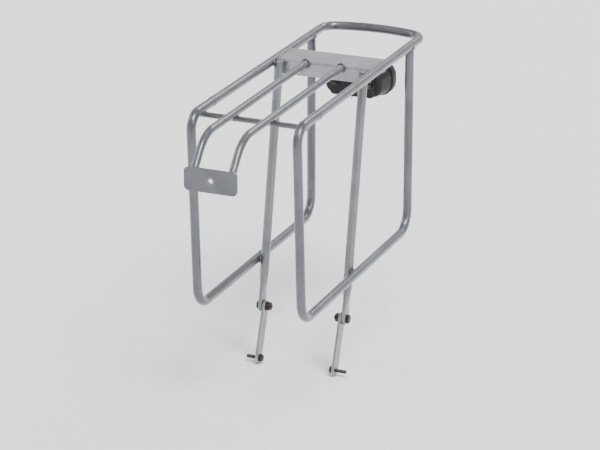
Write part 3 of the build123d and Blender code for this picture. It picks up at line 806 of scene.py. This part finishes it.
def bolt_shapes(node, side, axis, pitch, plain, spin):
    """A hexagon bolt in a CAD bolt's place: head, plain shank of length plain, then thread."""
    m = bolt_sizes(node, side, axis)
    under = at_axis(m["centre"], axis, m["under"])
    to_tip = unit(axis, m["to_tip"])
    head = hexagon(m["flats"], m["head"])
    rod = threaded(m["thread"], m["length"] - plain, pitch, TIP_CHAMFER * pitch)
    shapes = [
        moved(head, under, -to_tip, spin),
        moved(rod, under + to_tip * plain, to_tip),
    ]
    if plain:
        shapes.append(moved(lathe([(m["plain"], 0), (m["plain"], plain)]), under, to_tip))
    return shapes


def nut_shapes(node, side, axis, spin):
    found = points(node, side)
    low, high = found.min(0), found.max(0)
    centre = (low + high) / 2
    other = [k for k in range(3) if k != axis]
    reach = np.linalg.norm(found[:, other] - centre[other], axis=1)
    nut = hexagon(2 * reach.max() * cos(pi / 6), high[axis] - low[axis], True, reach.min())
    return [moved(nut, at_axis(centre, axis, low[axis]), unit(axis, 1), spin)]


M6_PITCH = 1.0 * MM
M5_PITCH = 0.8 * MM
PIVOT_PLAIN = 12 * MM                # the pivot bolts' plain shank, which the links turn on
RUN_OUT = 0.5 * MM                   # plain shank past what an eyelet bolt clamps
for side in SIDES:
    name = side_name(side)
    link = corners(f"{name}_foot_link")
    washer = corners(f"{name}_eyelet_washer")
    grip = link[1][1] - washer[0][1] if side > 0 else washer[1][1] - link[0][1]
    shapes = bolt_shapes(f"{name}_eyelet_bolt", 0, 1, M5_PITCH, grip + RUN_OUT, spin=0.3 * side)
    made = piece(f"{name}_eyelet_bolt_threaded", shapes, "dark_fasteners", f"{name}_link")
    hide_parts(f"{name}_eyelet_bolt")

for node, axis, pitch, plain, slot in (
    ("pivot_bolts", 1, M6_PITCH, PIVOT_PLAIN, "dark_fasteners"),
    ("hanger_bolts", 0, M5_PITCH, 0.0, "zinc_fasteners"),
    ("light_bolts", 0, M5_PITCH, 0.0, "zinc_fasteners"),
):
    shapes = []
    for side in SIDES:
        shapes += bolt_shapes(node, side, axis, pitch, plain, spin=0.2 + 0.25 * side)
    made = piece(f"{node}_threaded", shapes, slot, "rack", material=finish(node, slot))
    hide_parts(node)

for node, axis, slot in (
    ("pivot_nuts", 1, "dark_fasteners"),
    ("hanger_nuts", 0, "zinc_fasteners"),
    ("light_nuts", 0, "zinc_fasteners"),
):
    shapes = []
    for side in SIDES:
        shapes += nut_shapes(node, side, axis, spin=0.15 + 0.4 * side)
    made = piece(f"{node}_chamfered", shapes, slot, "rack", material=finish(node, slot))
    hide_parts(node)


# ---------------------------------------------------------------- light: optics and screws

lens_low, lens_high = corners("light_lens")
light_z = (lens_low[2] + lens_high[2]) / 2
screws = [corners("lens_screws", side) for side in SIDES]
screw_y = (screws[0][0][1] + screws[0][1][1]) / 2
head_r = (screws[0][1][1] - screws[0][0][1]) / 2
emitters = points("light_emitters")
EMITTER_R = 2.5 * MM
emitter_y = (emitters[:, 1].max() - emitters[:, 1].min()) / 2 - EMITTER_R
EMITTER_PLACES = (-1, 0, 1)          # along Y, in steps of emitter_y

PRISM = 2.5 * MM                     # the prisms' pitch
LENS_WALL = 2.0 * MM
PRISM_MARGIN = 5.5 * MM              # from the lens's outline to the prisms
FIELD_CORNER = 12 * MM               # corner radius of the field of prisms
SCREW_CLEAR = 5.2 * MM
WINDOW = 7.0 * MM                    # radius of the ring lens in front of each emitter
TOOTH = 0.5 * MM                     # height of the ring lens's steps
WINDOW_STEPS = 12
WINDOW_SKIN = 0.3 * MM               # the ring lens's thickness at its outline
WINDOW_RISE = 0.6 * MM               # how much thicker it is in its middle
WINDOW_EYE = 0.05 * MM               # radius of its last ring
PRISM_DEPTH = 0.45 * PRISM
SHEET = 0.5 * MM                     # plastic behind the prisms' roots
PRISM_GAP = 0.05 * MM                # from the lens's wall to the prisms' tips
RIM = 1.2 * MM                       # how far the housing's rim stands off the lens
RIM_SUNK = 0.15 * MM
RIM_FRONT = 2.5 * MM                 # from the seal forward over the housing
RIM_SHOWS = 3 * MM                   # how much of the lens stands out behind the rim
prism_x = lens_low[0] + LENS_WALL + PRISM_GAP
half_w = lens_high[1] - PRISM_MARGIN
half_h = (lens_high[2] - lens_low[2]) / 2 - PRISM_MARGIN


def open_to_light(y, z):
    """Whether this place on the lens is in front of an emitter."""
    return min((y - k * emitter_y) ** 2 + (z - light_z) ** 2 for k in EMITTER_PLACES) < WINDOW**2


cells = set()
columns, rows = int(half_w / PRISM), int(half_h / PRISM)
for i in range(-columns, columns):
    for j in range(-rows, rows):
        y, z = (i + 0.5) * PRISM, light_z + (j + 0.5) * PRISM
        near_screw = (abs(y) - screw_y) ** 2 + (z - light_z) ** 2 < SCREW_CLEAR**2
        past_y = max(abs(y) - (half_w - FIELD_CORNER), 0)
        past_z = max(abs(z - light_z) - (half_h - FIELD_CORNER), 0)
        if near_screw or open_to_light(y, z) or past_y**2 + past_z**2 > FIELD_CORNER**2:
            continue
        cells.add((i, j))
for i, j in sorted(cells):               # no cell touches another at one corner only
    for di in (-1, 1):
        if (i + di, j + 1) in cells and not {(i + di, j), (i, j + 1)} & cells:
            cells.discard((i, j))

CELL = ((0, 0), (1, 0), (1, 1), (0, 1))
BESIDE = ((0, -1), (1, 0), (0, 1), (-1, 0))


def prism_sheet(cells, tip_x, root_x, back_x):
    """A closed sheet of square pyramids that point to -X, one on each cell of the grid."""
    vertices, faces, known = [], [], {}

    def vertex(x, i, j):
        if (x, i, j) not in known:
            known[x, i, j] = len(vertices)
            vertices.append((x, i * PRISM, light_z + j * PRISM))
        return known[x, i, j]

    for i, j in sorted(cells):
        root = [vertex(root_x, i + a, j + b) for a, b in CELL]
        back = [vertex(back_x, i + a, j + b) for a, b in CELL]
        tip = vertex(tip_x, i + 0.5, j + 0.5)
        faces.append(back)
        for k, (di, dj) in enumerate(BESIDE):
            after = (k + 1) % 4
            faces.append((root[after], root[k], tip))
            if (i + di, j + dj) not in cells:
                faces.append((root[k], root[after], back[after], back[k]))
    return vertices, faces


root_x = prism_x + PRISM_DEPTH
prisms = [prism_sheet(cells, prism_x, root_x, root_x + SHEET)]
piece("lens_prisms", prisms, "lens_red", "rack", sharp=15, material=PRISM_MATERIAL)

windows = []
for k in EMITTER_PLACES:
    rings = []
    for i in range(WINDOW_STEPS + 1):
        share = i / WINDOW_STEPS
        r = WINDOW * (1 - share)
        tooth = (i % 2) * TOOTH
        rings.append((max(r, WINDOW_EYE), WINDOW_SKIN + tooth + WINDOW_RISE * share))
    lens_ring = lathe([(WINDOW, 0)] + rings, count=40)
    windows.append(moved(lens_ring, (prism_x, k * emitter_y, light_z), (1, 0, 0)))
piece("lens_rings", windows, "lens_red", "rack", sharp=15)


def rim_around(outline, front_x, rear_x, inside, outside):
    """A rim around an outline in the YZ plane, inside it and outside it, with two rounded edges."""
    along = np.roll(outline, -1, 0) - np.roll(outline, 1, 0)
    out = np.stack([along[:, 1], -along[:, 0]], 1) / np.linalg.norm(along, axis=1)[:, None]
    r = 0.45 * outside               # radius of the edges
    bend = 0.3 * r                   # how far in from the corner an edge's middle is
    profile = [
        (front_x, -inside), (front_x, outside - r), (front_x - bend, outside - bend),
        (front_x - r, outside), (rear_x + r, outside), (rear_x + bend, outside - bend),
        (rear_x, outside - r), (rear_x, -inside),
    ]
    vertices = [(x, *(p + d * n)) for x, d in profile for p, n in zip(outline, out)]
    faces = [face[::-1] for face in ring_faces(len(profile), len(outline), closed=True)]
    return vertices, faces


# The housing's rim, which hides the lens's side from the front. It follows the lens's flat front edge.
seal_high = corners("light_seal")[1]
at_front = [v for v in points("light_lens") if v[0] > lens_high[0] - 0.01 * MM]
flange = sorted({(round(y, 6), round(z, 6)) for _, y, z in at_front})
outline = np.array([flange[i] for i in convex_hull_2d(flange)])
after = np.roll(outline, -1, 0)
if (outline[:, 0] * after[:, 1] - outline[:, 1] * after[:, 0]).sum() < 0:
    outline = outline[::-1]          # it runs anticlockwise, seen from +X
rim = rim_around(outline, seal_high[0] + RIM_FRONT, lens_low[0] + RIM_SHOWS, RIM_SUNK, RIM)
piece("lens_rim", [rim], "lamp_black", "rack", sharp=35)


SLOT_HALF, SLOT_REACH = 0.17, 0.62   # half width and reach of a screw's cross, as shares of its radius
SLOT_DEPTH = 0.55                    # as a share of the head's height
SLOT_TAPER = 0.7                     # how much shallower the cross gets towards the head's outline
SIDE_SLOPE, END_SLOPE = 14, 10       # how steep the cross's sides and ends are
DOME = 0.12                          # the head's rounding, as a share of its height
LENS_SCREW_R = 1.5 * MM
SCREW_PLAY = 0.05 * MM               # how much smaller the head's radius is than the CAD screw's
SCREW_SUNK = 0.1 * MM                # how much lower its top is


def cross_head(radius, height, shank, length):
    """A flat-topped screw head with a cross recess, its top at z 0, and the plain shank below it."""
    rings, count = 14, 64
    vertices = []
    for i in range(rings):
        r = radius * (i + 0.5) / rings
        for j in range(count):
            angle = 2 * pi * j / count
            x, y = r * cos(angle), r * sin(angle)
            near = min(abs(x), abs(y)) / radius
            far = max(abs(x), abs(y)) / radius
            in_cross = clamped((SLOT_HALF - near) * SIDE_SLOPE) * clamped((SLOT_REACH - far) * END_SLOPE)
            fall = DOME * height * (r / radius) ** 4
            vertices.append((x, y, -fall - SLOT_DEPTH * height * in_cross * (1 - SLOT_TAPER * far)))
    faces = [face[::-1] for face in ring_faces(rings, count)]
    faces.append(tuple(range(count)))
    rim = len(vertices)
    side_rings = ((radius, -0.2 * height), (radius, -height), (shank, -height), (shank, -length))
    for r, z in side_rings:
        for j in range(count):
            angle = 2 * pi * j / count
            vertices.append((r * cos(angle), r * sin(angle), z))
    start = (rings - 1) * count
    for a, b in ((start, rim), *((rim + k * count, rim + (k + 1) * count) for k in range(3))):
        for j in range(count):
            k = (j + 1) % count
            faces.append((a + k, a + j, b + j, b + k))
    faces.append(tuple(range(rim + 3 * count, rim + 4 * count))[::-1])
    return vertices, faces


shapes = []
for side, (low, high) in zip(SIDES, screws):
    head_height = LENS_WALL - SCREW_SUNK
    screw = cross_head(head_r - SCREW_PLAY, head_height, LENS_SCREW_R, high[0] - low[0])
    top = (low[0] + SCREW_SUNK, side * screw_y, light_z)
    shapes.append(moved(screw, top, (-1, 0, 0), spin=0.4 * side))
made = piece("lens_screws_cross", shapes, "zinc_fasteners", "rack")
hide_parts("lens_screws")


# ---------------------------------------------------------------- floor, light and camera

HORIZON, ZENITH = 1.15, 0.75         # strength of the studio's walls and ceiling
FLOOR = 30.0                         # from the floor's middle to its sides
low, high = CAD_BOX
floor_mesh = bpy.data.meshes.new("floor")
around = ((-1, -1), (1, -1), (1, 1), (-1, 1))
floor_mesh.from_pydata([(x * FLOOR, y * FLOOR, low.z) for x, y in around], [], [(0, 1, 2, 3)])
add_object("floor", floor_mesh)
paper = Shade("floor_paper")
paper.set(Base_Color=paper.mix(paper.noise(0.4, 4), (0.86, 0.86, 0.86), (0.89, 0.89, 0.89)))
paper.set(Roughness=0.9)
floor_mesh.materials.append(paper.material)

world = bpy.data.worlds.new("studio")
world.use_nodes = True
tree = world.node_tree
sky = tree.nodes["Background"]
sky.inputs["Color"].default_value = (0.96, 0.98, 1.0, 1)
upward = tree.nodes.new("ShaderNodeSeparateXYZ")
tree.links.new(tree.nodes.new("ShaderNodeTexCoord").outputs["Generated"], upward.inputs[0])
fade = tree.nodes.new("ShaderNodeMapRange")
tree.links.new(upward.outputs["Z"], fade.inputs["Value"])
for key, value in {"From Min": 0.0, "From Max": 0.5, "To Min": HORIZON, "To Max": ZENITH}.items():
    fade.inputs[key].default_value = value
tree.links.new(fade.outputs["Result"], sky.inputs["Strength"])
bpy.context.scene.world = world

middle = (low + high) / 2


def softbox(name, place, width, height, power):
    """A soft rectangular light at place from the rack's middle, and turned to it."""
    light = bpy.data.lights.new(name, "AREA")
    light.shape = "RECTANGLE"
    light.size, light.size_y = width, height
    light.energy = power
    made = add_object(name, light)
    made.location = middle + Vector(place)
    made.rotation_euler = (-Vector(place)).to_track_quat("-Z", "Y").to_euler()


softbox("strip_left", (1.8, 3.6, 2.3), 0.7, 3.0, 64)
softbox("strip_right", (0.8, -3.6, 2.3), 0.7, 3.0, 40)
softbox("rim", (-3.2, 0.8, 2.6), 1.6, 1.0, 42)
sun = bpy.data.lights.new("overhead", "SUN")
sun.energy = 3.6
sun.angle = radians(26)
overhead = add_object("overhead", sun)
overhead.rotation_euler = Vector((0.35, 0.45, 1.0)).to_track_quat("Z", "Y").to_euler()

EYE = Vector((2.700, 1.260, 1.060))
LENS = 158.0
camera = bpy.data.cameras.new("camera")
camera.lens = LENS
camera.sensor_width = 36.0
camera.clip_end = 100.0
eye = add_object("camera", camera)
eye.location = EYE
eye.rotation_euler = (middle - EYE).to_track_quat("-Z", "Y").to_euler()
bpy.context.scene.camera = eye
